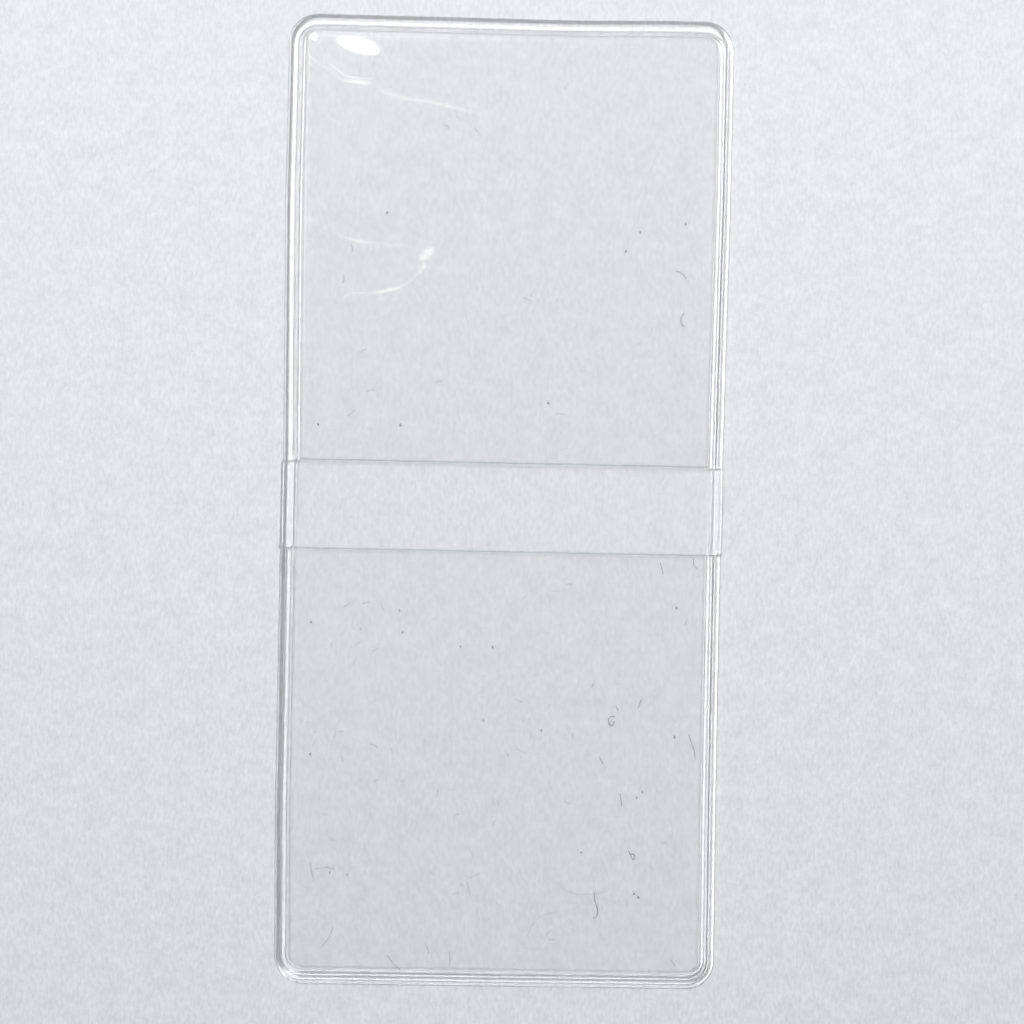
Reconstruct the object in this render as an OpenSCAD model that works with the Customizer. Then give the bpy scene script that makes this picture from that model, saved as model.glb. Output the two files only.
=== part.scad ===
// Double-pocket coin flip, welded from three pieces of clear vinyl film.
// It lies open on a table: X across, Y along, Z up from the underside of the back film.
// The upper leaf folds over the lower leaf about the middle of the fold band.

/* [Flip] */
// Width across the welded side edges
flip_w = 50.8; // [40:0.1:90]
// Depth of the lower pocket, from its mouth to its outer end
lower_pocket_l = 50.2; // [40:0.1:90]
// Depth of the upper pocket, from its mouth to its outer end
upper_pocket_l = 51; // [40:0.1:90]
// Length of the single-film fold band between the two mouths
band_l = 10; // [8:0.1:20]
// How far each side edge of the fold band stands out past the pockets
band_proud = 0.15; // [0.05:0.01:0.4]
// Radius of the four outer corners
corner_r = 3.2; // [2.6:0.1:8]

/* [Film] */
// Thickness of the back film
back_t = 0.25; // [0.15:0.01:0.5]
// Thickness of each pocket film
pocket_t = 0.2; // [0.12:0.01:0.4]
// Air gap inside an empty pocket
pocket_gap = 0.25; // [0.15:0.01:0.6]

/* [Pocket weld] */
// Width of the round outer bead
outer_bead_w = 0.8; // [0.5:0.01:0.95]
// Height of the outer bead above the back film
outer_bead_h = 0.58; // [0.5:0.01:1]
// Width of the pressed groove between the beads
groove_w = 0.45; // [0.3:0.01:0.8]
// Height of the groove's floor above the back film
groove_h = 0.1; // [0.05:0.01:0.2]
// Width of the round inner bead
inner_bead_w = 0.4; // [0.3:0.01:0.6]
// Rise of the inner bead above the pocket film
inner_bead_rise = 0.1; // [0.05:0.01:0.25]

/* [Band weld] */
// Width of the round outer bead along the fold band
band_bead_w = 0.6; // [0.4:0.01:0.7]
// Height of that bead above the back film
band_bead_h = 0.35; // [0.31:0.01:0.6]
// Width of the fine inner ridge along the fold band
ridge_w = 0.24; // [0.16:0.01:0.4]
// Height of the ridge above the back film
ridge_h = 0.16; // [0.13:0.01:0.3]
// How far the right-hand ridge stops short of the lower mouth
ridge_short = 3.2; // [0:0.1:3.6]

/* [Hidden] */
$fn = 64;

quarter = 90;                                  // a corner's sweep in degrees
mouth_y = -band_l / 2;                         // in a leaf, where the fold line is at Y = 0
fold_y = (lower_pocket_l - upper_pocket_l) / 2;  // puts the whole flip's middle at Y = 0
rim_w = outer_bead_w + groove_w + inner_bead_w;
pocket_top = pocket_gap + pocket_t;            // heights here are above the back film
inner_bead_h = pocket_top + inner_bead_rise;
film_w = flip_w - 2 * rim_w;                   // clear width of a pocket inside its weld
film_r = corner_r - rim_w;
band_w = flip_w + 2 * band_proud;
ridge_in = rim_w - inner_bead_w + band_proud;  // the ridge lines up with the inner bead

// Sections are drawn with X running inward from the flip's edge and Y up from the back film

// A bar seen end on, with a round top
module round_top(w, h) {
  intersection() {
    union() {
      translate([0, -w]) square([w, h + w / 2]);
      translate([w / 2, h - w / 2]) circle(d = w);
    }
    square([w, h]);
  }
}

// Outer bead, pressed groove and inner bead of the weld round a pocket
module pocket_weld_section() {
  round_top(outer_bead_w, outer_bead_h);
  square([rim_w, groove_h]);
  translate([rim_w - inner_bead_w, 0]) round_top(inner_bead_w, inner_bead_h);
  translate([rim_w - inner_bead_w / 2, 0]) square([inner_bead_w / 2, pocket_top]);
}

// A straight run of a section up a leaf's left edge, standing out from it by proud
module left_run(from_y, to_y, proud = 0) {
  translate([-flip_w / 2 - proud, to_y, back_t])
    rotate([quarter, 0, 0]) linear_extrude(to_y - from_y) children();
}

// A section turned round the outer left corner
module left_corner(end_y) {
  translate([corner_r - flip_w / 2, end_y + corner_r, back_t])
    rotate(2 * quarter) rotate_extrude(angle = quarter)
      translate([corner_r, 0]) mirror([1, 0]) children();
}

// A section from the outer left corner to the middle of the outer end
module left_end(end_y) {
  translate([corner_r - flip_w / 2, end_y, back_t])
    rotate([quarter, 0, quarter]) linear_extrude(flip_w / 2 - corner_r) children();
}

module both_sides() {
  children();
  mirror([1, 0, 0]) children();
}

// Rectangle from end_y to to_y whose two corners at end_y are rounded
module leaf_outline(w, end_y, to_y, r) {
  translate([-w / 2, end_y + r]) square([w, to_y - end_y - r]);
  translate([r - w / 2, end_y]) square([w - 2 * r, 2 * r]);
  for (side = [-1, 1]) translate([side * (w / 2 - r), end_y + r]) circle(r);
}

// One leaf's share of the back film: the back of its pocket and its half of the fold band
module back_film(pocket_l) {
  color("whitesmoke", 0.5) linear_extrude(back_t) {
    leaf_outline(flip_w, mouth_y - pocket_l, mouth_y, corner_r);
    translate([-band_w / 2, mouth_y]) square([band_w, -mouth_y]);
  }
}

// Clear front of a pocket, held on three sides by the inner bead and cut straight at its mouth
module pocket_film(pocket_l) {
  color("gainsboro", 0.5) translate([0, 0, back_t + pocket_gap])
    linear_extrude(pocket_t)
      leaf_outline(film_w, mouth_y - pocket_l + rim_w, mouth_y, film_r);
}

// The fused margin that shuts a pocket on three sides
module pocket_weld(pocket_l) {
  end_y = mouth_y - pocket_l;
  color("white", 0.7) both_sides() {
    left_run(end_y + corner_r, mouth_y) pocket_weld_section();
    left_corner(end_y) pocket_weld_section();
    left_end(end_y) pocket_weld_section();
  }
}

// A fine ridge beside one edge of the fold band
module band_ridge(short = 0) {
  left_run(mouth_y + short, 0, band_proud)
    translate([ridge_in, 0]) round_top(ridge_w, ridge_h);
}

// The low welded edges of one leaf's half of the fold band
module band_weld(right_short = 0) {
  color("white", 0.7) {
    both_sides() left_run(mouth_y, 0, band_proud) round_top(band_bead_w, band_bead_h);
    band_ridge();
    mirror([1, 0, 0]) band_ridge(right_short);
  }
}

// A leaf is drawn on the -Y side of the fold line
module lower() {
  translate([0, fold_y, 0]) children();
}

module upper() {
  translate([0, fold_y, 0]) mirror([0, 1, 0]) children();
}

lower() back_film(lower_pocket_l);  // lower_back_film
upper() back_film(upper_pocket_l);  // upper_back_film
lower() pocket_film(lower_pocket_l);  // lower_pocket_film
upper() pocket_film(upper_pocket_l);  // upper_pocket_film
lower() pocket_weld(lower_pocket_l);  // lower_pocket_weld
upper() pocket_weld(upper_pocket_l);  // upper_pocket_weld
lower() band_weld(ridge_short);  // lower_band_weld
upper() band_weld();  // upper_band_weld
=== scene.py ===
import math
import random

import bpy
from mathutils import Euler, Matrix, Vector, noise


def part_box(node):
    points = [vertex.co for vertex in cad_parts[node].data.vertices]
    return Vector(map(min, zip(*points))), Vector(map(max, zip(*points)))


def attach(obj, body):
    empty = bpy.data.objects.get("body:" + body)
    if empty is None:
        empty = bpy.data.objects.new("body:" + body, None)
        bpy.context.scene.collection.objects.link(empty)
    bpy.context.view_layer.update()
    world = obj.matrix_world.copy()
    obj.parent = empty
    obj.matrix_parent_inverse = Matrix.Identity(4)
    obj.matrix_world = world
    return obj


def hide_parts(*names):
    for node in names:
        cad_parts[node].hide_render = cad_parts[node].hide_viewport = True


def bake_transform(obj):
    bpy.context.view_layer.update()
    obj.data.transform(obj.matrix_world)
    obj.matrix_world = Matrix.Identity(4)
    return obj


mm = 0.001
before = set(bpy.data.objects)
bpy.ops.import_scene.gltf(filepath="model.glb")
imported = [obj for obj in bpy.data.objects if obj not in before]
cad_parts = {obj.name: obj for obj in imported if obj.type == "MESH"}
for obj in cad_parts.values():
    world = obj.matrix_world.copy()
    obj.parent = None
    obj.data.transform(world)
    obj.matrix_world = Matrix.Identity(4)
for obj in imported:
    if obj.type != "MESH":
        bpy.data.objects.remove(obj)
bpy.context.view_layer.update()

# Sizes taken from the solids, in metres
lowerFilm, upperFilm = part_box("lower_pocket_film"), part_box("upper_pocket_film")
lowerWeld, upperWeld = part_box("lower_pocket_weld"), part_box("upper_pocket_weld")
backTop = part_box("lower_back_film")[1].z
mouthLower, mouthUpper = lowerFilm[1].y, upperFilm[0].y


# Camera and light

cameraSet = {
    "place": (-3.5, 1.4, 196.8),      # mm, almost straight above the middle
    "turn": (-0.70, -1.275, 1.174),   # degrees
    "lens": 60.0,
}


def makeCamera(spec):
    data = bpy.data.cameras.new("camera")
    data.lens = spec["lens"]
    data.clip_start = 0.01
    camera = bpy.data.objects.new("camera", data)
    camera.location = Vector(spec["place"]) * mm
    camera.rotation_euler = Euler([math.radians(a) for a in spec["turn"]])
    bpy.context.scene.collection.objects.link(camera)
    bpy.context.scene.camera = camera
    bpy.context.scene.view_settings.view_transform = "Standard"
    return camera


lightSet = {
    "tint": (0.99, 0.99, 1.0),
    "horizon": 0.306,                 # the sky's brightness low down
    "zenith": 0.574,                  # and overhead
    "windowFrom": (-0.312, 0.509, 0.802),  # where the brightest part of the sky is
    "window": 16.2,                   # how much it adds
    "windowTight": 48.8,
    "seenLow": (0.42, 0.44, 0.46),    # the background that is seen past the table and in the gloss
    "seenHigh": (0.86, 0.87, 0.88),
    # a window as the gloss shows it, in four panes
    "panesFrom": [(-0.05, 0.44, 0.896), (-0.20, 0.38, 0.90), (-0.34, 0.29, 0.89), (-0.31, 0.15, 0.94)],
    "paneColour": (3.0, 2.9, 2.6),
    "paneTight": 190.0,
    "lampPlace": (-102.3, 352.4, 1159.5),
    "lampAim": (-17.8, 52.2, 0.8),
    "lampSize": (33.5, 12.0),
    "lampTurn": -31.0,
    "lampPower": 0.0077,
}


def makeSky(spec):
    world = bpy.data.worlds.new("sky")
    bpy.context.scene.world = world
    world.use_nodes = True
    tree = world.node_tree
    tree.nodes.clear()
    direction = tree.nodes.new("ShaderNodeTexCoord").outputs["Generated"]
    split = tree.nodes.new("ShaderNodeSeparateXYZ")
    tree.links.new(direction, split.inputs[0])
    rise = mapRange(tree, split.outputs["Z"], 0.0, 1.0, spec["horizon"], spec["zenith"])
    lobe = skyLobe(tree, direction, spec["windowFrom"], spec["windowTight"])
    strength = mathNode(tree, "MULTIPLY_ADD", lobe, spec["window"], rise)
    lit = tree.nodes.new("ShaderNodeBackground")
    lit.inputs["Color"].default_value = (*spec["tint"], 1)
    tree.links.new(strength, lit.inputs["Strength"])
    fade = tree.nodes.new("ShaderNodeMix")
    fade.data_type = "RGBA"
    tree.links.new(split.outputs["Z"], fade.inputs["Factor"])
    fade.inputs[6].default_value = (*spec["seenLow"], 1)
    fade.inputs[7].default_value = (*spec["seenHigh"], 1)
    panes = 0.0
    for towards in spec["panesFrom"]:
        panes = mathNode(tree, "ADD", panes, skyLobe(tree, direction, towards, spec["paneTight"]))
    warm = vectorNode(tree, "SCALE", spec["paneColour"], panes)
    seen = tree.nodes.new("ShaderNodeBackground")
    tree.links.new(vectorNode(tree, "ADD", fade.outputs[2], warm), seen.inputs["Color"])
    path = tree.nodes.new("ShaderNodeLightPath")
    mirrored = mathNode(tree, "MAXIMUM", path.outputs["Is Glossy Ray"], path.outputs["Is Transmission Ray"])
    unspread = mathNode(tree, "LESS_THAN", path.outputs["Diffuse Depth"], 0.5)
    plain = mathNode(tree, "MULTIPLY", mirrored, unspread)
    direct = mathNode(tree, "MAXIMUM", path.outputs["Is Camera Ray"], plain)
    out = tree.nodes.new("ShaderNodeOutputWorld")
    tree.links.new(mixShaders(tree, direct, lit.outputs[0], seen.outputs[0]), out.inputs["Surface"])


def skyLobe(tree, direction, towards, tightness):
    # 1 in the given direction and falling to 0 round it
    dot = vectorNode(tree, "DOT_PRODUCT", direction, Vector(towards).normalized())
    return mathNode(tree, "POWER", mathNode(tree, "MAXIMUM", dot, 0.0), tightness)


def makeGlintLamp(spec):
    # a small far lamp, whose mirror image is the glint near the upper pocket's left corner
    data = bpy.data.lights.new("glintLamp", "AREA")
    data.shape = "ELLIPSE"
    data.size, data.size_y = (v * mm for v in spec["lampSize"])
    data.energy = spec["lampPower"]
    lamp = bpy.data.objects.new("glintLamp", data)
    lamp.location = Vector(spec["lampPlace"]) * mm
    aim = (Vector(spec["lampAim"]) * mm - lamp.location).to_track_quat("-Z", "Y").to_euler()
    aim.rotate_axis("Z", math.radians(spec["lampTurn"]))
    lamp.rotation_euler = aim
    bpy.context.scene.collection.objects.link(lamp)


# Small helpers for node trees

def link(tree, source, target):
    if hasattr(source, "is_output"):
        tree.links.new(source, target)
    else:
        target.default_value = source


def mathNode(tree, operation, a, b=0.0, c=0.0):
    node = tree.nodes.new("ShaderNodeMath")
    node.operation = operation
    for socket, value in zip(node.inputs, (a, b, c)):
        link(tree, value, socket)
    return node.outputs[0]


def vectorNode(tree, operation, a, b):
    node = tree.nodes.new("ShaderNodeVectorMath")
    node.operation = operation
    link(tree, a, node.inputs[0])
    link(tree, b, node.inputs["Scale" if operation == "SCALE" else 1])
    return node.outputs["Value" if operation == "DOT_PRODUCT" else "Vector"]


def mixShaders(tree, share, first, second):
    node = tree.nodes.new("ShaderNodeMixShader")
    for socket, value in zip(node.inputs, (share, first, second)):
        link(tree, value, socket)
    return node.outputs[0]


def mapRange(tree, value, fromLow, fromHigh, toLow, toHigh):
    node = tree.nodes.new("ShaderNodeMapRange")
    for socket, v in zip(node.inputs, (value, fromLow, fromHigh, toLow, toHigh)):
        link(tree, v, socket)
    return node.outputs[0]


def noiseNode(tree, where, scale, detail=3.0, roughness=0.5):
    node = tree.nodes.new("ShaderNodeTexNoise")
    tree.links.new(where, node.inputs["Vector"])
    node.inputs["Scale"].default_value = scale
    node.inputs["Detail"].default_value = detail
    node.inputs["Roughness"].default_value = roughness
    return node.outputs["Fac"]


def bumpNode(tree, height, distance, strength=1.0):
    node = tree.nodes.new("ShaderNodeBump")
    node.inputs["Strength"].default_value = strength
    node.inputs["Distance"].default_value = distance
    tree.links.new(height, node.inputs["Height"])
    return node.outputs[0]


def newMaterial(name):
    material = bpy.data.materials.new(name)
    material.use_nodes = True
    tree = material.node_tree
    tree.nodes.clear()
    out = tree.nodes.new("ShaderNodeOutputMaterial")
    where = tree.nodes.new("ShaderNodeTexCoord").outputs["Object"]
    return material, tree, out.inputs["Surface"], where


# Materials

noiseSpan = (0.3, 0.7)                # where most of a noise's values lie

paperLook = {
    "far": (0.838, 0.845, 0.862),     # colour past the upper end of the flip, drawn lighter there as painted light
    "near": (0.676, 0.692, 0.711),    # and past the lower end, drawn darker there as painted shade
    "paintedLightSpan": (-0.0577, 0.0530),        # the y of the two, in metres, between which the painted light fades into painted shade
    "mottle": 0.030,                  # soft blotches, and the scale they have
    "blotch": 420.0,
    "fibre": 0.050,                   # fine upright fibres, their scale and how long they are drawn
    "grain": 2600.0,
    "stretch": 0.45,
    "grainDepth": 0.02 * mm,
    "roughness": 0.9,
    "shine": 0.2,
}


def makePaper(spec):
    material, tree, surface, where = newMaterial("paper")
    shader = tree.nodes.new("ShaderNodeBsdfPrincipled")
    shader.inputs["Roughness"].default_value = spec["roughness"]
    shader.inputs["Specular IOR Level"].default_value = spec["shine"]
    split = tree.nodes.new("ShaderNodeSeparateXYZ")
    tree.links.new(where, split.inputs[0])
    # painted light and shade: the paper is coloured lighter towards the upper end and darker towards the
    # lower end, to stand in for how the light falls off
    along = mapRange(tree, split.outputs["Y"], *spec["paintedLightSpan"], 0.0, 1.0)
    cloudy = noiseNode(tree, where, spec["blotch"], 3.0, 0.6)
    mottle = mapRange(tree, cloudy, *noiseSpan, -spec["mottle"], spec["mottle"])
    upright = vectorNode(tree, "MULTIPLY", where, (1.0, spec["stretch"], 1.0))
    pulp = noiseNode(tree, upright, spec["grain"], 2.0, 0.6)
    fibre = mapRange(tree, pulp, *noiseSpan, -spec["fibre"], spec["fibre"])
    paintedFalloff = tree.nodes.new("ShaderNodeMix")
    paintedFalloff.data_type = "RGBA"
    paintedFalloff.clamp_factor = False
    tree.links.new(along, paintedFalloff.inputs["Factor"])
    paintedFalloff.inputs[6].default_value = (*spec["near"], 1)
    paintedFalloff.inputs[7].default_value = (*spec["far"], 1)
    spotted = vectorNode(tree, "ADD", paintedFalloff.outputs[2], mathNode(tree, "ADD", mottle, fibre))
    tree.links.new(spotted, shader.inputs["Base Color"])
    grain = noiseNode(tree, where, spec["grain"], 4.0, 0.6)
    tree.links.new(bumpNode(tree, grain, spec["grainDepth"]), shader.inputs["Normal"])
    tree.links.new(shader.outputs[0], surface)
    return material


filmLook = {
    "clear": (0.999, 0.999, 0.999),   # what each face of the film lets through
    "mirror": 0.040,                  # how much it mirrors straight on
    "haze": 0.012,
    "milk": (0.9, 0.92, 0.94),        # the haze's colour
    "roughness": 0.022,
    "wear": 260.0,                    # scale of the patches where it is rougher, and by what shares
    "wearShares": (0.6, 1.4),
    "softShare": 0.12,                # the part of its shine that is blurred
    "softRoughness": 0.22,
    "rimPower": 5.0,                  # how fast the mirroring rises towards the rim
}


def makeFilm(name, spec):
    material, tree, surface, where = newMaterial(name)
    through = tree.nodes.new("ShaderNodeBsdfTransparent")
    through.inputs["Color"].default_value = (*spec["clear"], 1)
    sharp = tree.nodes.new("ShaderNodeBsdfGlossy")
    worn = noiseNode(tree, where, spec["wear"])
    dullest, dull = (share * spec["roughness"] for share in spec["wearShares"])
    tree.links.new(mapRange(tree, worn, *noiseSpan, dullest, dull), sharp.inputs["Roughness"])
    soft = tree.nodes.new("ShaderNodeBsdfGlossy")
    soft.inputs["Roughness"].default_value = spec["softRoughness"]
    shine = mixShaders(tree, spec["softShare"], sharp.outputs[0], soft.outputs[0])
    milk = tree.nodes.new("ShaderNodeBsdfDiffuse")
    milk.inputs["Color"].default_value = (*spec["milk"], 1)
    facing = tree.nodes.new("ShaderNodeLayerWeight")
    facing.inputs["Blend"].default_value = 0.5
    rim = mathNode(tree, "POWER", facing.outputs["Facing"], spec["rimPower"])
    mirrored = mathNode(tree, "MULTIPLY_ADD", rim, 1 - spec["mirror"], spec["mirror"])
    hazy = mixShaders(tree, spec["haze"], through.outputs[0], milk.outputs[0])
    tree.links.new(mixShaders(tree, mirrored, hazy, shine), surface)
    return material


shearedLook = {
    "clear": (0.86, 0.87, 0.88),
    "frost": (0.75, 0.77, 0.80),
    "haze": 0.06,
    "speckle": 3000.0,
}


def makeSheared(name, spec):
    # the frosted edge where the film was cut across
    material, tree, surface, where = newMaterial(name)
    through = tree.nodes.new("ShaderNodeBsdfTransparent")
    through.inputs["Color"].default_value = (*spec["clear"], 1)
    frost = tree.nodes.new("ShaderNodeBsdfDiffuse")
    frost.inputs["Color"].default_value = (*spec["frost"], 1)
    speckle = noiseNode(tree, where, spec["speckle"])
    amount = mapRange(tree, speckle, *noiseSpan, 0.0, 2 * spec["haze"])
    tree.links.new(mixShaders(tree, amount, through.outputs[0], frost.outputs[0]), surface)
    return material


fluffLook = {
    "colour": (0.34, 0.35, 0.37),
    "seeThrough": 0.40,
    "roughness": 0.8,
    "patches": 2500.0,                # scale of the patches where it is denser, and the noise that makes them
    "patchSpan": (0.35, 0.65),
}


def makeFluff(name, spec):
    material, tree, surface, where = newMaterial(name)
    fibre = tree.nodes.new("ShaderNodeBsdfPrincipled")
    fibre.inputs["Base Color"].default_value = (*spec["colour"], 1)
    fibre.inputs["Roughness"].default_value = spec["roughness"]
    patchy = noiseNode(tree, where, spec["patches"])
    opacity = mapRange(tree, patchy, *spec["patchSpan"], 1.0 - 2 * spec["seeThrough"], 1.0)
    tree.links.new(opacity, fibre.inputs["Alpha"])
    tree.links.new(fibre.outputs[0], surface)
    return material


weldLook = {
    "colour": (0.987, 0.988, 0.989),
    "ior": 1.469,
    "roughness": 0.0,
}


def makeWeldVinyl(name, spec):
    material, tree, surface = newMaterial(name)[:3]
    glass = tree.nodes.new("ShaderNodeBsdfGlass")
    glass.inputs["Color"].default_value = (*spec["colour"], 1)
    glass.inputs["IOR"].default_value = spec["ior"]
    glass.inputs["Roughness"].default_value = spec["roughness"]
    tree.links.new(glass.outputs[0], surface)
    return material


# Meshes

def ease(t):
    t = min(1, max(0, t))
    return t * t * (3 - 2 * t)


# The real flip isn't quite straight: how far its left and right edges stray at each y, in mm
straying = [(-55.6, -0.06, -0.10), (-46.0, -0.21, -0.16), (-35.0, -0.35, -0.26), (-17.0, -0.34, -0.33),
            (-5.4, -0.34, -0.35), (-5.1, -0.15, -0.24), (4.3, -0.15, -0.24), (4.6, 0.09, -0.31),
            (17.0, -0.06, -0.22), (34.5, -0.23, -0.07), (46.0, -0.16, -0.05), (55.6, -0.10, -0.08)]
# How its upper end bows out: between which y, by how much, and how much more at the right, where the more
# comes in from one share of the width and over another
endBow = {"from": 46.0, "to": 55.6, "by": 0.15, "moreAtRight": 0.26, "rightFrom": 0.6, "rightOver": 0.3}


def stray(point):
    # moves a point, in metres, by the flip's own crookedness
    x, y = point[0] / mm, point[1] / mm
    left = right = 0.0
    for (y0, l0, r0), (y1, l1, r1) in zip(straying, straying[1:]):
        if y0 <= y <= y1:
            t = (y - y0) / (y1 - y0)
            left, right = l0 + (l1 - l0) * t, r0 + (r1 - r0) * t
    across = (x * mm - lowerWeld[0].x) / (lowerWeld[1].x - lowerWeld[0].x)
    bow = endBow["by"] + endBow["moreAtRight"] * ease((across - endBow["rightFrom"]) / endBow["rightOver"])
    out = max(0, (y - endBow["from"]) / (endBow["to"] - endBow["from"])) * bow
    return Vector(((x + left + (right - left) * across) * mm, (y + out) * mm, point[2]))


def strayed(piece):
    for vertex in piece.data.vertices:
        vertex.co = stray(vertex.co)
    return piece


def addMesh(name, points, faces, material, smooth=True):
    mesh = bpy.data.meshes.new(name)
    mesh.from_pydata([tuple(p) for p in points], [], faces)
    mesh.materials.append(material)
    mesh.validate()
    mesh.polygons.foreach_set("use_smooth", [smooth] * len(mesh.polygons))
    piece = bpy.data.objects.new(name, mesh)
    bpy.context.scene.collection.objects.link(piece)
    return piece


def roundedPath(corners, steps):
    # corners are (x, y, radius); each becomes an arc, or stays a point where its radius is 0
    points = []
    for i, (x, y, r) in enumerate(corners):
        here = Vector((x, y))
        if r == 0:
            points.append(here)
            continue
        before = (Vector(corners[i - 1][:2]) - here).normalized()
        after = (Vector(corners[(i + 1) % len(corners)][:2]) - here).normalized()
        half = before.angle(after) / 2
        centre = here + (before + after).normalized() * r / math.sin(half)
        first = here + before * r / math.tan(half) - centre
        last = here + after * r / math.tan(half) - centre
        turn = first.angle_signed(last)
        for k in range(steps + 1):
            spin = -turn * k / steps
            c, s = math.cos(spin), math.sin(spin)
            points.append(centre + Vector((first.x * c - first.y * s, first.x * s + first.y * c)))
    return points


def polyCurve(name, points, closed):
    data = bpy.data.curves.new(name, "CURVE")
    data.dimensions = "3D"
    spline = data.splines.new("POLY")
    spline.points.add(len(points) - 1)
    for target, p in zip(spline.points, points):
        target.co = (*p, 1) if len(p) == 3 else (*p, 0, 1)
    spline.use_cyclic_u = closed
    curve = bpy.data.objects.new(name, data)
    bpy.context.scene.collection.objects.link(curve)
    return curve


# The weld: a section carried along a path by geometry nodes

weldSizes = {
    # in mm, from the outer edge inwards: each bead is its width, its top, how square its back is (2 is round)
    # and how far its crown leans inwards; the lows are the heights before, between and after the beads
    "upperLeft": ([(0.26, 0.055, 2.55, 0.37), (0.82, 0.54, 2.65, -0.31), (0.48, 0.17, 2.3, -0.46),
                   (0.31, 0.18, 1.7, -0.05)],
                  (0.045, 0.045, 0.10, 0.085, 0.045)),
    "upperEnd": ([(0.24, 0.215, 1.67, 0.19), (1.02, 0.505, 1.68, -0.06), (0.26, 0.125, 3.4, -0.09),
                  (0.18, 0.10, 2.5, -0.27)], (0.04, 0.205, 0.105, 0.08, 0.08)),
    "lowerLeft": ([(0.29, 0.31, 1.5, -0.36), (0.45, 0.565, 2.75, 0.20), (0.61, 0.415, 3.3, 0.11),
                   (0.35, 0.215, 2.65, 0.27)], (0.067, 0.145, 0.15, 0.195, 0.08)),
    "lowerEnd": ([(0.49, 0.235, 2.8, 0.22), (0.50, 0.405, 2.3, -0.02), (0.55, 0.545, 3.6, 0.11),
                  (0.31, 0.107, 1.95, -0.30)], (0.13, 0.105, 0.06, 0.087, 0.087)),
    "right": ([(0.665, 0.545, 2.07, 0.33), (0.25, 0.545, 1.6, -0.20), (0.335, 0.335, 1.78, 0.06),
               (0.49, 0.475, 2.85, 0.32)], (0.10, 0.135, 0.29, 0.175, 0.06)),
    "leftBand": ([(0.40, 0.39, 3.4, 0.37), (1.10, 0.62, 3.0, -0.16), (0.35, 0.30, 2.9, 0.27)],
                 (0.12, 0.16, 0.04, 0.25)),
    "rightBand": ([(0.49, 0.48, 2.9, 0.10), (0.73, 0.515, 4.9, -0.44), (0.51, 0.21, 3.9, -0.04)],
                  (0.02, 0.05, 0.05, 0.20)),
    "reach": 1.70,                    # how far in the welds go
    "backFilm": 0.25,
    "ridgeShort": 3.2,                # how far the right ridge stops short of the lower mouth, and how softly
    "ridgeFade": 0.35,
    "cornerRadius": 3.2,
    "arcSteps": 16,                   # points over each bead's back
    "cornerSteps": 14,                # and round each corner of the path
    "step": 0.30,                     # between rings along the path
    "wander": 0.03,                   # how far the die's line strays, and the scale of that
    "wanderScale": 120.0,
    "crisp": 35,                      # edges that fold by more degrees than this are drawn sharp
}


def arch(start, bead, lows, steps):
    # a bead's rounded back, between the heights where its two flanks end
    width, top, squareness, lean = bead
    points = []
    for k in range(steps + 1):
        turn = math.pi * (1 - k / steps)
        across = math.copysign(abs(math.cos(turn)) ** (2 / squareness), math.cos(turn))
        low = lows[0] if across < 0 else lows[1]
        x = start + width / 2 * (1 + across + lean * (1 - across * across))
        points.append(Vector((x, low + (top - low) * abs(math.sin(turn)) ** (2 / squareness))))
    return points


def totalWidth(beads):
    return sum(bead[0] for bead in beads)


def weldOutline(s, name):
    # the section of a weld, closed along its underside; where its beads end before the reach, it goes on as
    # flat and thick as the back film
    beads, lows = s[name]
    start = max(0, totalWidth(beads) - s["reach"]) * -1
    points, film = [Vector((start + 0.05, 0))], s["backFilm"]
    for bead, low, nextLow in zip(beads, lows, lows[1:]):
        back = arch(start, bead, (low, nextLow), s["arcSteps"])
        points += back if len(points) == 1 else back[1:]
        start += bead[0]
    if s["reach"] > start + 0.02:
        points += [Vector((start + 0.01, film)), Vector((s["reach"], film))]
    return points + [Vector((s["reach"], 0))]


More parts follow.
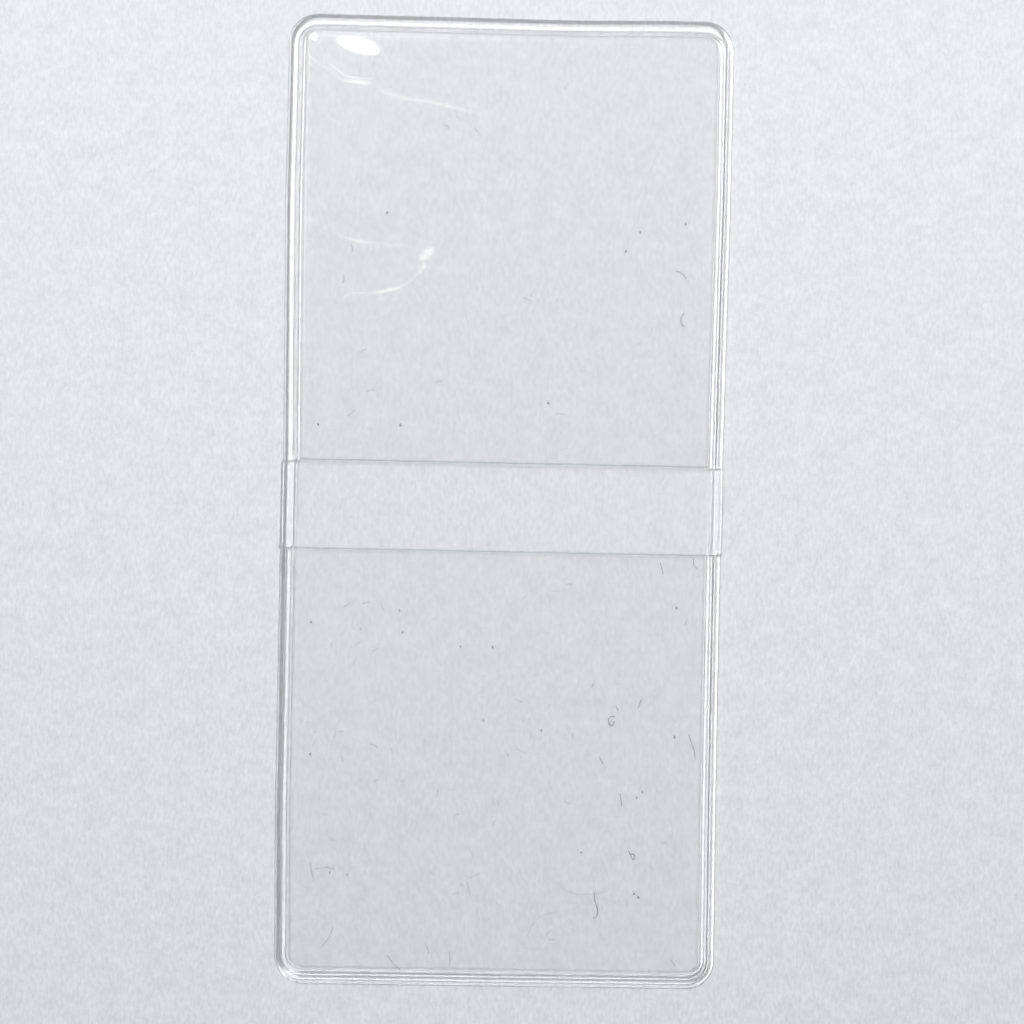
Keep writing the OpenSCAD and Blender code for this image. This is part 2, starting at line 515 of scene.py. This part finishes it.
def sweepTree(sizes):
    tree = bpy.data.node_groups.new("carrySection", "GeometryNodeTree")
    for name, kind in (("Path", "NodeSocketGeometry"), ("Section", "NodeSocketObject"),
                       ("Wall from", "NodeSocketInt"), ("Step", "NodeSocketFloat"),
                       ("Wander", "NodeSocketFloat"), ("Finish", "NodeSocketMaterial"),
                       ("Wall finish", "NodeSocketMaterial")):
        tree.interface.new_socket(name=name, in_out="INPUT", socket_type=kind)
    tree.interface.new_socket(name="Weld", in_out="OUTPUT", socket_type="NodeSocketGeometry")
    nodes, links = tree.nodes, tree.links
    given = nodes.new("NodeGroupInput")
    resample = nodes.new("GeometryNodeResampleCurve")
    resample.mode = "LENGTH"
    links.new(given.outputs["Path"], resample.inputs["Curve"])
    links.new(given.outputs["Step"], resample.inputs["Length"])
    upright = nodes.new("GeometryNodeSetCurveNormal")
    upright.mode = "Z_UP"
    links.new(resample.outputs[0], upright.inputs[0])
    section = nodes.new("GeometryNodeObjectInfo")
    links.new(given.outputs["Section"], section.inputs["Object"])
    number = nodes.new("GeometryNodeInputIndex")
    isWall = nodes.new("FunctionNodeCompare")
    isWall.data_type = "INT"
    isWall.operation = "LESS_EQUAL"
    links.new(number.outputs[0], socketOf(isWall, "A"))
    links.new(given.outputs["Wall from"], socketOf(isWall, "B"))
    marked = nodes.new("GeometryNodeStoreNamedAttribute")
    marked.data_type = "FLOAT"
    marked.domain = "POINT"
    marked.inputs["Name"].default_value = "wall"
    links.new(section.outputs["Geometry"], marked.inputs["Geometry"])
    links.new(isWall.outputs[0], socketOf(marked, "Value"))
    sweep = nodes.new("GeometryNodeCurveToMesh")
    links.new(upright.outputs[0], sweep.inputs["Curve"])
    links.new(marked.outputs[0], sweep.inputs["Profile Curve"])
    sweep.inputs["Fill Caps"].default_value = True
    place = nodes.new("GeometryNodeInputPosition")
    wave = nodes.new("ShaderNodeTexNoise")
    wave.inputs["Scale"].default_value = sizes["wanderScale"]
    links.new(place.outputs[0], wave.inputs["Vector"])
    centred = vectorNode(tree, "SUBTRACT", wave.outputs["Color"], (0.5, 0.5, 0.5))
    flat = vectorNode(tree, "MULTIPLY", centred, (1, 1, 0))
    amount = vectorNode(tree, "SCALE", flat, given.outputs["Wander"])
    wandered = nodes.new("GeometryNodeSetPosition")
    links.new(sweep.outputs[0], wandered.inputs["Geometry"])
    links.new(amount, wandered.inputs["Offset"])
    smooth = nodes.new("GeometryNodeSetShadeSmooth")
    links.new(wandered.outputs[0], smooth.inputs[0])
    fold = nodes.new("GeometryNodeInputMeshEdgeAngle")
    steep = nodes.new("FunctionNodeCompare")
    steep.operation = "GREATER_THAN"
    steep.inputs["B"].default_value = math.radians(sizes["crisp"])
    links.new(fold.outputs["Unsigned Angle"], steep.inputs["A"])
    crisp = nodes.new("GeometryNodeSetShadeSmooth")
    crisp.domain = "EDGE"
    crisp.inputs["Shade Smooth"].default_value = False
    links.new(smooth.outputs[0], crisp.inputs[0])
    links.new(steep.outputs[0], crisp.inputs["Selection"])
    real = nodes.new("GeometryNodeRealizeInstances")
    links.new(crisp.outputs[0], real.inputs[0])
    finish = nodes.new("GeometryNodeSetMaterial")
    links.new(real.outputs[0], finish.inputs["Geometry"])
    links.new(given.outputs["Finish"], finish.inputs["Material"])
    wall = nodes.new("GeometryNodeInputNamedAttribute")
    wall.data_type = "FLOAT"
    wall.inputs["Name"].default_value = "wall"
    faces = nodes.new("GeometryNodeFieldOnDomain")
    faces.data_type = "FLOAT"
    faces.domain = "FACE"
    links.new(socketOf(wall, "Attribute", False), socketOf(faces, "Value"))
    whole = nodes.new("FunctionNodeCompare")
    whole.operation = "GREATER_THAN"
    whole.inputs["B"].default_value = 0.95  # only faces whose corners all are the wall's
    links.new(socketOf(faces, "Value", False), whole.inputs["A"])
    wallFinish = nodes.new("GeometryNodeSetMaterial")
    links.new(finish.outputs[0], wallFinish.inputs["Geometry"])
    links.new(whole.outputs[0], wallFinish.inputs["Selection"])
    links.new(given.outputs["Wall finish"], wallFinish.inputs["Material"])
    out = nodes.new("NodeGroupOutput")
    links.new(wallFinish.outputs[0], out.inputs[0])
    return tree


def socketOf(node, name, isInput=True):
    # the socket of that name which is in use for the node's data type
    return next(s for s in (node.inputs if isInput else node.outputs) if s.name == name and s.enabled)


def socketNamed(tree, name):
    return next(i.identifier for i in tree.interface.items_tree if i.in_out == "INPUT" and i.name == name)


def baked(source, name):
    # the evaluated result as a plain mesh object
    graph = bpy.context.evaluated_depsgraph_get()
    mesh = bpy.data.meshes.new_from_object(source.evaluated_get(graph))
    mesh.name = name
    if "wall" in mesh.attributes:
        mesh.attributes.remove(mesh.attributes["wall"])
    if mesh.materials[0] is None:
        mesh.materials.pop(index=0)
        mesh.polygons.foreach_set("material_index", [0] * len(mesh.polygons))
    piece = bpy.data.objects.new(name, mesh)
    bpy.context.scene.collection.objects.link(piece)
    bpy.data.objects.remove(source)
    return piece


def carry(name, path, section, tree, sizes, materials):
    modifier = path.modifiers.new("carry", "NODES")
    modifier.node_group = tree
    modifier[socketNamed(tree, "Section")] = section
    modifier[socketNamed(tree, "Wall from")] = 1
    modifier[socketNamed(tree, "Step")] = sizes["step"] * mm
    modifier[socketNamed(tree, "Wander")] = sizes["wander"] * mm
    modifier[socketNamed(tree, "Finish")] = materials[0]
    modifier[socketNamed(tree, "Wall finish")] = materials[1]
    bpy.context.view_layer.update()
    return baked(path, name)


def pocketPath(name, weldBox, mouth, radius):
    # up one side, round the outer end and down the other, along the flip's outer edge
    low, high = weldBox
    end = low.y if abs(low.y - mouth) > abs(high.y - mouth) else high.y
    corners = [(low.x, mouth, 0), (low.x, end, radius), (high.x, end, radius), (high.x, mouth, 0)]
    if end > mouth:
        corners.reverse()
    return polyCurve(name, roundedPath(corners, weldSizes["cornerSteps"]), False)


def makeWelds(sizes, materials):
    tree = sweepTree(sizes)
    radius = sizes["cornerRadius"] * mm
    sections = {}
    for name in ("upperLeft", "upperEnd", "lowerLeft", "lowerEnd", "right", "leftBand", "rightBand"):
        outline = [p * -mm for p in reversed(weldOutline(sizes, name))]
        sections[name] = polyCurve(name + "Section", outline, True)

    def carried(name, section, box, mouth):
        path = pocketPath(name + "Path", box, mouth, radius)
        return carry(name, path, sections[section], tree, sizes, materials)

    def pocketWeld(name, leftSection, endSection, box, mouth):
        # the die is worn unevenly: the sections of the two sides and the outer end differ, and turn into each
        # other round the corners
        around = (leftSection, endSection, "right")
        left, end, right = [carried(name, section, box, mouth) for section in around]
        far = max(abs(box[0].y), abs(box[1].y)) - radius
        for a, b, c in zip(left.data.vertices, end.data.vertices, right.data.vertices):
            dx, dy = abs(b.co.x) - (box[1].x - radius), abs(b.co.y) - far
            share = ease(math.atan2(max(dy, 0), max(dx, 1e-9)) / (math.pi / 2))
            a.co = (a.co if b.co.x < 0 else c.co).lerp(b.co, share)
        for other in (end, right):
            bpy.data.objects.remove(other)
        return left

    lower = pocketWeld("lowerPocketWeld", "lowerLeft", "lowerEnd", lowerWeld, mouthLower)
    upper = pocketWeld("upperPocketWeld", "upperLeft", "upperEnd", upperWeld, mouthUpper)
    sides = []
    for side, x, ends in (("left", lowerWeld[0].x, (mouthUpper, mouthLower)),
                          ("right", lowerWeld[1].x, (mouthLower, mouthUpper))):
        path = polyCurve(side + "Path", [(x, y) for y in ends], False)  # with the flip to its left
        sides.append(carry(side + "BandWeld", path, sections[side + "Band"], tree, sizes, materials))
    for helper in sections.values():
        bpy.data.objects.remove(helper)
    endRidge(sides[1], sizes)
    return lower, upper, sides


def endRidge(piece, sizes):
    # the right band weld's inner ridge runs out into the flat film before it reaches the lower mouth
    stop = mouthLower + sizes["ridgeShort"] * mm
    film = sizes["backFilm"] * mm
    beads = sizes["rightBand"][0]
    inner = lowerWeld[1].x + (max(0, totalWidth(beads) - sizes["reach"]) - totalWidth(beads[:2])) * mm
    for vertex in piece.data.vertices:
        if vertex.co.z > 0.02 * mm and vertex.co.x < inner + 0.01 * mm:
            fade = ease((vertex.co.y - stop) / (sizes["ridgeFade"] * mm))
            vertex.co.z = film + (vertex.co.z - film) * fade


# Films

filmSizes = {
    "grid": 0.37,                     # mesh step, mm
    "fineGrid": 0.13,                 # and where creases run across
    "endGrid": 0.09,                  # and in the pinch
    "nearEnd": (0.6, 1.7),            # how near the outer end the mesh has the endGrid and the fineGrid
    "backNear": (0.5, 0.15),          # how near its ends and mouths the back film has it, and how far past
    "fineBands": [(43.4, 51.2), (22.6, 31.9), (7.8, 9.8), (-9.8, -7.6)],  # the y where they do
    "inset": 0.01,                    # gap between a film's edge and its weld
    "lap": 0.05,                      # how much wider the weld is here than in the solids
    "pinchWidth": 0.35,               # how far in from the weld the films are pressed thin
    "pinched": (0.16, 0.06, 0.09),    # the pocket film's top and thickness and the back film's top there
    "level": 0.60,                    # the pocket film's top beyond the pinch
    "rise": 0.02,                     # how far it climbs from there
    "riseWidth": 0.8,
    "ripple": 0.04,                   # height and length of its slow waves
    "rippleLength": 17.0,
    "smallWave": (0.35, 0.4),         # and of the smaller ones on them, as shares of those
    "rippleFrom": 4.0,                # how far in from the weld they have their full height
    "cutEdge": 0.20,                  # width of the mouth's sheared edge
    "cornerRadius": 1.50,
    "backGrid": (0.8, 0.5),
}

# Soft creases in the pocket films: points, height and width in mm, and how uneven the height is. The steepest
# side of each mirrors the window
creases = [
    ([(-23.5, 50.5), (-21.4, 49.1), (-19.2, 47.7), (-17.7, 47.6), (-16.4, 47.5), (-15.4, 46.8), (-14.0, 46.3),
      (-12.5, 45.9), (-9.4, 45.6), (-6.6, 45.0), (-4.8, 44.6), (-3.5, 44.3)], 0.055, 0.38, 0.4),
    ([(-22.4, 32.0), (-20.0, 30.4), (-17.6, 29.5), (-14.0, 29.1), (-11.5, 29.1)], 0.062, 0.40, 0.9),
    ([(-8.7, 28.0), (-8.4, 27.7)], 0.215, 1.0, 0.0),
    ([(-9.2, 26.9), (-9.7, 26.3), (-11.0, 25.0), (-12.1, 24.3), (-14.8, 23.6), (-18.1, 23.4)],
     0.085, 0.42, 0.9),
    ([(-21.3, 8.6), (-14.4, 8.7), (-6.4, 8.6)], 0.050, 0.29, 1.2),
    ([(-14.0, -8.4), (-8.5, -8.9), (-3.0, -8.8)], 0.030, 0.30, 1.2),
]
calmSpot = (-17.8, 52.2, 5.0)         # x, y and radius of a place where the film lies flat
# x, y and the inner and outer radius of a small flat place at the corner
cornerSpot = (-22.65, 52.85, 0.60, 0.80)
cornerSlope = (-0.0145, 0.0015)       # how it is tilted, so that it mirrors the lamp


def distanceToLine(x, y, line):
    best = 1e9
    for (ax, ay), (bx, by) in zip(line, line[1:]):
        dx, dy = bx - ax, by - ay
        along = min(1, max(0, ((x - ax) * dx + (y - ay) * dy) / (dx * dx + dy * dy)))
        best = min(best, math.hypot(x - ax - dx * along, y - ay - dy * along))
    return best


def isNear(value, values, reach=3):
    return min(values) - reach < value < max(values) + reach


class PocketSheet:
    # the form of one pocket film, in mm
    def __init__(self, filmBox, mouth, sizes, seed):
        low, high = filmBox[0] / mm, filmBox[1] / mm
        self.sizes, self.seed = sizes, seed
        self.mouth = mouth / mm
        self.sign = -1 if self.mouth > (low.y + high.y) / 2 else 1
        self.halfWidth = high.x - sizes["inset"] - sizes["lap"]
        self.end = (low.y if self.sign < 0 else high.y) - self.sign * (sizes["inset"] + sizes["lap"])
        self.thick = high.z - low.z
        self.shares = self.rowShares()

    def endAt(self, x):
        r = self.sizes["cornerRadius"]
        over = max(0, abs(x) - (self.halfWidth - r))
        return self.end - self.sign * (r - math.sqrt(max(r * r - over * over, 0)))

    def fromWeld(self, x, y):
        r = self.sizes["cornerRadius"]
        dx, dy = self.halfWidth - abs(x), (self.end - y) * self.sign
        if dx < r and dy < r:
            return r - math.hypot(r - dx, r - dy)
        return min(dx, dy)

    def pinch(self, x, y):
        # 0 where the film runs into the weld, 1 a little further in
        return ease(self.fromWeld(x, y) / self.sizes["pinchWidth"])

    def thickness(self, x, y):
        thin = self.sizes["pinched"][1]
        return thin + (self.thick - thin) * self.pinch(x, y)

    def top(self, x, y):
        s = self.sizes
        inward = self.fromWeld(x, y)
        height = s["pinched"][0] + (s["level"] - s["pinched"][0]) * self.pinch(x, y)
        height += s["rise"] * ease(inward / s["riseWidth"])
        calm = ease((math.hypot(x - calmSpot[0], y - calmSpot[1]) - calmSpot[2] / 2) / calmSpot[2])
        wave = noise.noise(Vector((x, y, self.seed)) / s["rippleLength"])
        small, length = s["smallWave"]
        wave += small * noise.noise(Vector((x, y, self.seed + 40)) / (s["rippleLength"] * length))
        height += s["ripple"] * wave * calm * ease(inward / s["rippleFrom"])
        for line, crease, width, uneven in creases:
            if isNear(x, [q[0] for q in line]) and isNear(y, [q[1] for q in line]):
                strength = 1 - uneven / 6 + uneven * noise.noise(Vector((x, y, 5)) / 3)
                height += crease * strength * math.exp(-(distanceToLine(x, y, line) / width) ** 2)
        dx, dy = x - cornerSpot[0], y - cornerSpot[1]
        flat = 1 - ease((math.hypot(dx, dy) - cornerSpot[2]) / (cornerSpot[3] - cornerSpot[2]))
        plane = s["level"] + cornerSlope[0] * dx + cornerSlope[1] * dy
        return height + (plane - height) * flat * self.pinch(x, y)

    def rows(self, x):
        s = self.sizes
        end = self.endAt(x)
        lip = self.sign * s["cutEdge"]
        ys = [self.mouth, self.mouth + lip / 2]
        ys += [self.mouth + lip + (end - self.mouth - lip) * share for share in self.shares]
        return ys if self.sign > 0 else ys[::-1]

    def rowShares(self):
        # from the mouth's lip to the outer end, closer together where creases run across
        s = self.sizes
        y, stations = self.mouth + self.sign * s["cutEdge"], []
        while (self.end - y) * self.sign > 0.02:
            stations.append(y)
            left = (self.end - y) * self.sign
            isFine = left < s["nearEnd"][1] or any(low < y < high for low, high in s["fineBands"])
            finest = s["fineGrid"] if isFine else s["grid"]
            y += self.sign * (s["endGrid"] if left < s["nearEnd"][0] else finest)
        return [(q - stations[0]) / (self.end - stations[0]) for q in stations] + [1.0]


def spread(half, step, tight, endCount=14):
    # stations from -half to half, close together over the tight length at both ends
    count = round((2 * half - 2 * tight) / step)
    ends = [-half + tight * (1 - math.cos(math.pi / 2 * k / endCount)) for k in range(endCount)]
    middle = [-half + tight + (2 * half - 2 * tight) * k / count for k in range(count + 1)]
    return ends + middle + [-e for e in reversed(ends)]


def slab(name, columns, rowsAt, topAt, bottomAt, materials, isCut=None):
    # a closed thin sheet: columns are x stations, rowsAt(x) its y stations there, all in mm
    across = [(x, rowsAt(x)) for x in columns]
    rowCount, columnCount = len(across[0][1]), len(across)
    spots = [(x, y) for x, ys in across for y in ys]
    points = [Vector((x, y, topAt(x, y))) * mm for x, y in spots]
    points += [Vector((x, y, bottomAt(x, y))) * mm for x, y in spots]
    under = len(spots)
    faces, cut = [], []
    for i in range(columnCount - 1):
        for j in range(rowCount - 1):
            k = i * rowCount + j
            quad = [k, k + rowCount, k + rowCount + 1, k + 1]
            faces += [quad, [under + q for q in reversed(quad)]]
            cut += [isCut is not None and isCut(j, rowCount)] * 2
    loop = [i * rowCount for i in range(columnCount)]
    loop += [(columnCount - 1) * rowCount + j for j in range(1, rowCount)]
    loop += [i * rowCount + rowCount - 1 for i in range(columnCount - 2, -1, -1)]
    loop += list(range(rowCount - 2, 0, -1))
    for a, b in zip(loop, loop[1:] + loop[:1]):
        faces.append([b, a, under + a, under + b])
        cut.append(False)
    piece = addMesh(name, points, faces, materials[0])
    if isCut is not None:
        piece.data.materials.append(materials[1])
        piece.data.polygons.foreach_set("material_index", [int(c) for c in cut])
    return piece


def makePocketFilm(name, sheet, materials):
    sizes = sheet.sizes
    columns = spread(sheet.halfWidth, sizes["grid"], sizes["cornerRadius"])
    heights = {}

    def topAt(x, y):
        heights[x, y] = sheet.top(x, y)
        return heights[x, y]

    def isCut(row, rowCount):
        return row < 2 if sheet.sign > 0 else row > rowCount - 4

    def bottomAt(x, y):
        return heights[x, y] - sheet.thickness(x, y)

    return slab(name, columns, sheet.rows, topAt, bottomAt, materials, isCut)


def makeBackFilm(upper, lower, sizes, material):
    columnStep, rowStep = sizes["backGrid"]
    near, past = sizes["backNear"]
    y, stations = lower.end, []
    while y < upper.end - 0.02:
        stations.append(y)
        edge = min(y - lower.end, upper.end - y, abs(y - lower.mouth + past), abs(y - upper.mouth - past))
        y += sizes["endGrid"] if edge < near else rowStep
    shares = [(q - lower.end) / (upper.end - lower.end) for q in stations] + [1.0]
    full, pinched = backTop / mm, sizes["pinched"][2]

    def rowsAt(x):
        a, b = lower.endAt(x), upper.endAt(x)
        return [a + (b - a) * share for share in shares]

    def topAt(x, y):
        sheet = lower if y < (lower.mouth + upper.mouth) / 2 else upper
        under = ease((y - sheet.mouth) * sheet.sign / sizes["pinchWidth"])
        return full - (full - pinched) * (1 - sheet.pinch(x, y)) * under

    columns = spread(upper.halfWidth, columnStep, sizes["cornerRadius"])
    return slab("backFilm", columns, rowsAt, topAt, lambda x, y: 0.0, [material])


# Lint and dust on the films, by geometry nodes

lint = {
    "fibreRadius": 0.05,
    "speckRadius": 0.13,
    "bitRadius": 0.022,               # of the finest short bits, which are scattered
    "bitBend": (0.9, 1.0),            # the radius that they are bent to, and through how many radians
    "bits": (60, 16),                 # how many lie on the lower and on the upper pocket
    "bitsAcross": (-21.5, 21.5),      # the x between which they lie, and how far from the mouth
    "bitsAlong": (2, 46),
    "speckLift": 0.04,                # how high the specks' middles lie over the film
    "speckScales": ((0.5, 0.9, 0.3), (1.0, 1.5, 0.5)),  # the least and most that each is scaled by
    "bitScales": ((0.4, 0.4, 1.0), (1.3, 1.3, 1.0)),
    "seed": 7,
}
# each is its thickness as a share of fibreRadius, then its points in mm
fibres = [
    (1.0, [(11.28, -44.56), (11.33, -45.3), (11.52, -45.97), (11.73, -46.55), (11.72, -47.11),
           (11.44, -47.63), (11.22, -47.46)]),
    (1.0, [(13.27, -24.29), (13.04, -24.24), (12.69, -24.3), (12.53, -24.65), (12.59, -25.11),
           (12.89, -25.34), (13.17, -25.1), (13.22, -24.76)]),
    (0.9, [(15.16, -39.75), (15.34, -40.09), (15.46, -40.44), (15.7, -40.78), (15.93, -40.55),
           (15.86, -40.2), (15.57, -40.09), (15.4, -40.32)]),
    (0.8, [(19.2, 27.18), (19.67, 27.08), (20.14, 26.75), (20.38, 26.29)]),
    (0.8, [(20.23, 22.38), (19.9, 21.8), (19.91, 21.23), (20.27, 20.77)]),
    (0.8, [(13.36, -23.02), (13.6, -23.59)]),
    (0.8, [(16.31, -22.16), (15.9, -23.25)]),
    (0.7, [(14.03, -33.06), (14.3, -34.63)]),
    (0.7, [(21.83, -26.11), (22.16, -27.14), (22.55, -28.12), (22.67, -29.04)]),
    (0.7, [(21.92, -5.9), (22.02, -6.68), (22.49, -7.13)]),
    (0.7, [(18.14, -6.44), (18.46, -7.67)]),
    (0.7, [(11.58, -28.92), (12.02, -29.79)]),
    (0.7, [(-12.43, -52.25), (-11.6, -53.3), (-10.9, -54.0)]),
    (0.6, [(-8.09, -50.85), (-7.61, -51.93)]),
    (0.6, [(-5.24, -51.74), (-5.16, -53.41)]),
    (0.6, [(20.35, -52.29), (20.9, -53.1)]),
    (0.5, [(-21.51, -41.69), (-21.28, -42.74), (-21.02, -43.95)]),
    (0.5, [(-21.05, -42.44), (-19.55, -42.2)]),
    (0.5, [(-19.97, -51.35), (-19.09, -50.28), (-18.72, -49.05)]),
    (0.5, [(-3.38, -43.53), (-3.04, -45.19)]),
    (0.3, [(-3.08, -43.22), (-1.74, -42.5)]),
    (0.3, [(2.01, -28.16), (3.26, -28.74)]),
    (0.25, [(6.92, -43.35), (7.92, -44.43), (9.49, -44.96), (11.05, -44.85), (12.59, -44.51)]),
    (0.25, [(3.54, -50.11), (4.28, -48.36), (5.2, -47.42), (7.05, -46.93)]),
]
specks = [(15.0, 31.5), (20.2, 32.6), (13.4, 29.3), (4.8, 11.7), (-12.1, 8.8), (-21.5, 8.7), (16.6, -32.9),
          (16.0, -33.6), (16.4, -45.1), (15.9, -44.7), (-14.1, 33.1), (20.2, -26.5), (20.1, -11.6),
          (9.7, -40.0), (-21.9, -14.0), (-11.8, -12.5), (-11.4, -15.0), (-16.2, -14.7), (-4.7, -16.5),
          (-1.0, -16.5), (-21.7, -29.2), (-1.9, -25.0), (1.0, -28.9), (4.8, -26.0), (-19.2, -42.8),
          (-17.2, -43.0)]


def lintTree():
    tree = bpy.data.node_groups.new("layLint", "GeometryNodeTree")
    for name, kind in (("Fibres", "NodeSocketGeometry"), ("Specks", "NodeSocketObject"),
                       ("Bits", "NodeSocketObject"), ("Fibre radius", "NodeSocketFloat"),
                       ("Speck radius", "NodeSocketFloat"), ("Bit radius", "NodeSocketFloat"),
                       ("Seed", "NodeSocketInt"), ("Finish", "NodeSocketMaterial")):
        tree.interface.new_socket(name=name, in_out="INPUT", socket_type=kind)
    tree.interface.new_socket(name="Lint", in_out="OUTPUT", socket_type="NodeSocketGeometry")
    nodes, links = tree.nodes, tree.links
    given = nodes.new("NodeGroupInput")
    fine = nodes.new("GeometryNodeSubdivideCurve")
    fine.inputs["Cuts"].default_value = 2
    links.new(given.outputs["Fibres"], fine.inputs[0])
    share = nodes.new("GeometryNodeInputRadius")
    thread = threadOf(nodes, links, fine.outputs[0], given.outputs["Fibre radius"], 6, share.outputs[0])
    arc = nodes.new("GeometryNodeCurveArc")
    arc.inputs["Resolution"].default_value = 4
    arc.inputs["Radius"].default_value = lint["bitBend"][0] * mm
    arc.inputs["Sweep Angle"].default_value = lint["bitBend"][1]
    bit = threadOf(nodes, links, arc.outputs[0], given.outputs["Bit radius"], 4)
    grain = nodes.new("GeometryNodeMeshIcoSphere")
    grain.inputs["Subdivisions"].default_value = 2
    links.new(given.outputs["Speck radius"], grain.inputs["Radius"])
    both = nodes.new("GeometryNodeJoinGeometry")
    links.new(thread, both.inputs[0])
    for places, shape, (small, large) in (("Specks", grain.outputs["Mesh"], lint["speckScales"]),
                                          ("Bits", bit, lint["bitScales"])):
        spots = nodes.new("GeometryNodeObjectInfo")
        links.new(given.outputs[places], spots.inputs["Object"])
        size = randomVector(nodes, links, given.outputs["Seed"], small, large)
        spin = randomVector(nodes, links, given.outputs["Seed"], (0, 0, 0), (0, 0, 2 * math.pi))
        scatter = nodes.new("GeometryNodeInstanceOnPoints")
        links.new(spots.outputs["Geometry"], scatter.inputs["Points"])
        links.new(shape, scatter.inputs["Instance"])
        links.new(size, scatter.inputs["Scale"])
        if places == "Bits":
            links.new(spin, scatter.inputs["Rotation"])
        links.new(scatter.outputs[0], both.inputs[0])
    real = nodes.new("GeometryNodeRealizeInstances")
    links.new(both.outputs[0], real.inputs[0])
    finish = nodes.new("GeometryNodeSetMaterial")
    links.new(real.outputs[0], finish.inputs["Geometry"])
    links.new(given.outputs["Finish"], finish.inputs["Material"])
    out = nodes.new("NodeGroupOutput")
    links.new(finish.outputs[0], out.inputs[0])
    return tree


def threadOf(nodes, links, path, radius, sides, thickness=None):
    ring = nodes.new("GeometryNodeCurvePrimitiveCircle")
    ring.inputs["Resolution"].default_value = sides
    links.new(radius, ring.inputs["Radius"])
    thread = nodes.new("GeometryNodeCurveToMesh")
    links.new(path, thread.inputs["Curve"])
    links.new(ring.outputs[0], thread.inputs["Profile Curve"])
    thread.inputs["Fill Caps"].default_value = True
    if thickness is not None:
        links.new(thickness, thread.inputs["Scale"])
    return thread.outputs[0]


def randomVector(nodes, links, seed, low, high):
    value = nodes.new("FunctionNodeRandomValue")
    value.data_type = "FLOAT_VECTOR"
    value.inputs["Min"].default_value = low
    value.inputs["Max"].default_value = high
    links.new(seed, value.inputs["Seed"])
    return value.outputs["Value"]


def makeLint(name, sheet, bitCount, tree, material):
    def onSheet(q):
        return (q[1] - sheet.mouth) * sheet.sign > 0

    data = bpy.data.curves.new(name + "Fibres", "CURVE")
    data.dimensions = "3D"
    for thickness, fibre in fibres:
        if onSheet(fibre[0]):
            spline = data.splines.new("POLY")
            spline.points.add(len(fibre) - 1)
            lift = lint["fibreRadius"] * thickness
            for target, (x, y) in zip(spline.points, fibre):
                target.co = (x * mm, y * mm, (sheet.top(x, y) + lift) * mm, 1)
                target.radius = thickness
    host = bpy.data.objects.new(name + "Fibres", data)
    bpy.context.scene.collection.objects.link(host)
    chance = random.Random(lint["seed"])
    across, along = lint["bitsAcross"], lint["bitsAlong"]
    bits = [(chance.uniform(*across), sheet.mouth + sheet.sign * chance.uniform(*along))
            for _ in range(bitCount)]
    places, onThis = [], [q for q in specks if onSheet(q)]
    for part, spots, lift in (("Specks", onThis, lint["speckLift"]), ("Bits", bits, lint["bitRadius"])):
        points = [Vector((x, y, sheet.top(x, y) + lift)) * mm for x, y in spots]
        places.append(addMesh(name + part, points, [], material))
    modifier = host.modifiers.new("lint", "NODES")
    modifier.node_group = tree
    modifier[socketNamed(tree, "Specks")], modifier[socketNamed(tree, "Bits")] = places
    modifier[socketNamed(tree, "Fibre radius")] = lint["fibreRadius"] * mm
    modifier[socketNamed(tree, "Speck radius")] = lint["speckRadius"] * mm
    modifier[socketNamed(tree, "Bit radius")] = lint["bitRadius"] * mm
    modifier[socketNamed(tree, "Seed")] = lint["seed"]
    modifier[socketNamed(tree, "Finish")] = material
    bpy.context.view_layer.update()
    piece = baked(host, name)
    for helper in places:
        bpy.data.objects.remove(helper)
    return piece


# Build

makeCamera(cameraSet)
makeSky(lightSet)
paper = makePaper(paperLook)
tableHalf, tableTop = 2.0, -0.03 * mm  # just under the flip, so that the two don't share a face
corners = [(x * tableHalf, y * tableHalf, tableTop) for x, y in ((-1, -1), (1, -1), (1, 1), (-1, 1))]
floor = addMesh("table", corners, [(0, 1, 2, 3)], paper)
makeGlintLamp(lightSet)
print("camera, sky and table made")

film = makeFilm("clearFilm", filmLook)
sheared = makeSheared("shearedEdge", shearedLook)
fluff = makeFluff("greyLint", fluffLook)
vinyl = makeWeldVinyl("weldVinyl", weldLook)
lowerWeldPiece, upperWeldPiece, bandPieces = makeWelds(weldSizes, [vinyl, film])
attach(lowerWeldPiece, "lower_leaf")
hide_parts("lower_pocket_weld")
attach(upperWeldPiece, "upper_leaf")
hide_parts("upper_pocket_weld")
for piece in bandPieces:
    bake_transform(piece)
    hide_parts("lower_band_weld", "upper_band_weld")
print("welds made")

lowerSheet = PocketSheet(lowerFilm, mouthLower, filmSizes, 3.0)
upperSheet = PocketSheet(upperFilm, mouthUpper, filmSizes, 11.0)
lowerFilmPiece = makePocketFilm("lowerPocketFilm", lowerSheet, [film, sheared])
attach(lowerFilmPiece, "lower_leaf")
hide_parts("lower_pocket_film")
upperFilmPiece = makePocketFilm("upperPocketFilm", upperSheet, [film, sheared])
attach(upperFilmPiece, "upper_leaf")
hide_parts("upper_pocket_film")
backPiece = makeBackFilm(upperSheet, lowerSheet, filmSizes, film)
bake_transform(backPiece)
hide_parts("lower_back_film", "upper_back_film")
print("films made")

lintNodes = lintTree()
for name, sheet, body, bitCount in (("lowerLint", lowerSheet, "lower_leaf", lint["bits"][0]),
                                    ("upperLint", upperSheet, "upper_leaf", lint["bits"][1])):
    piece = makeLint(name, sheet, bitCount, lintNodes, fluff)
    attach(piece, body)
print("lint laid")

for piece in (lowerWeldPiece, upperWeldPiece, *bandPieces, lowerFilmPiece, upperFilmPiece, backPiece):
    strayed(piece)

cycles = bpy.context.scene.cycles
cycles.blur_glossy = 0.0
cycles.max_bounces = cycles.transmission_bounces = 24
cycles.transparent_max_bounces = 32
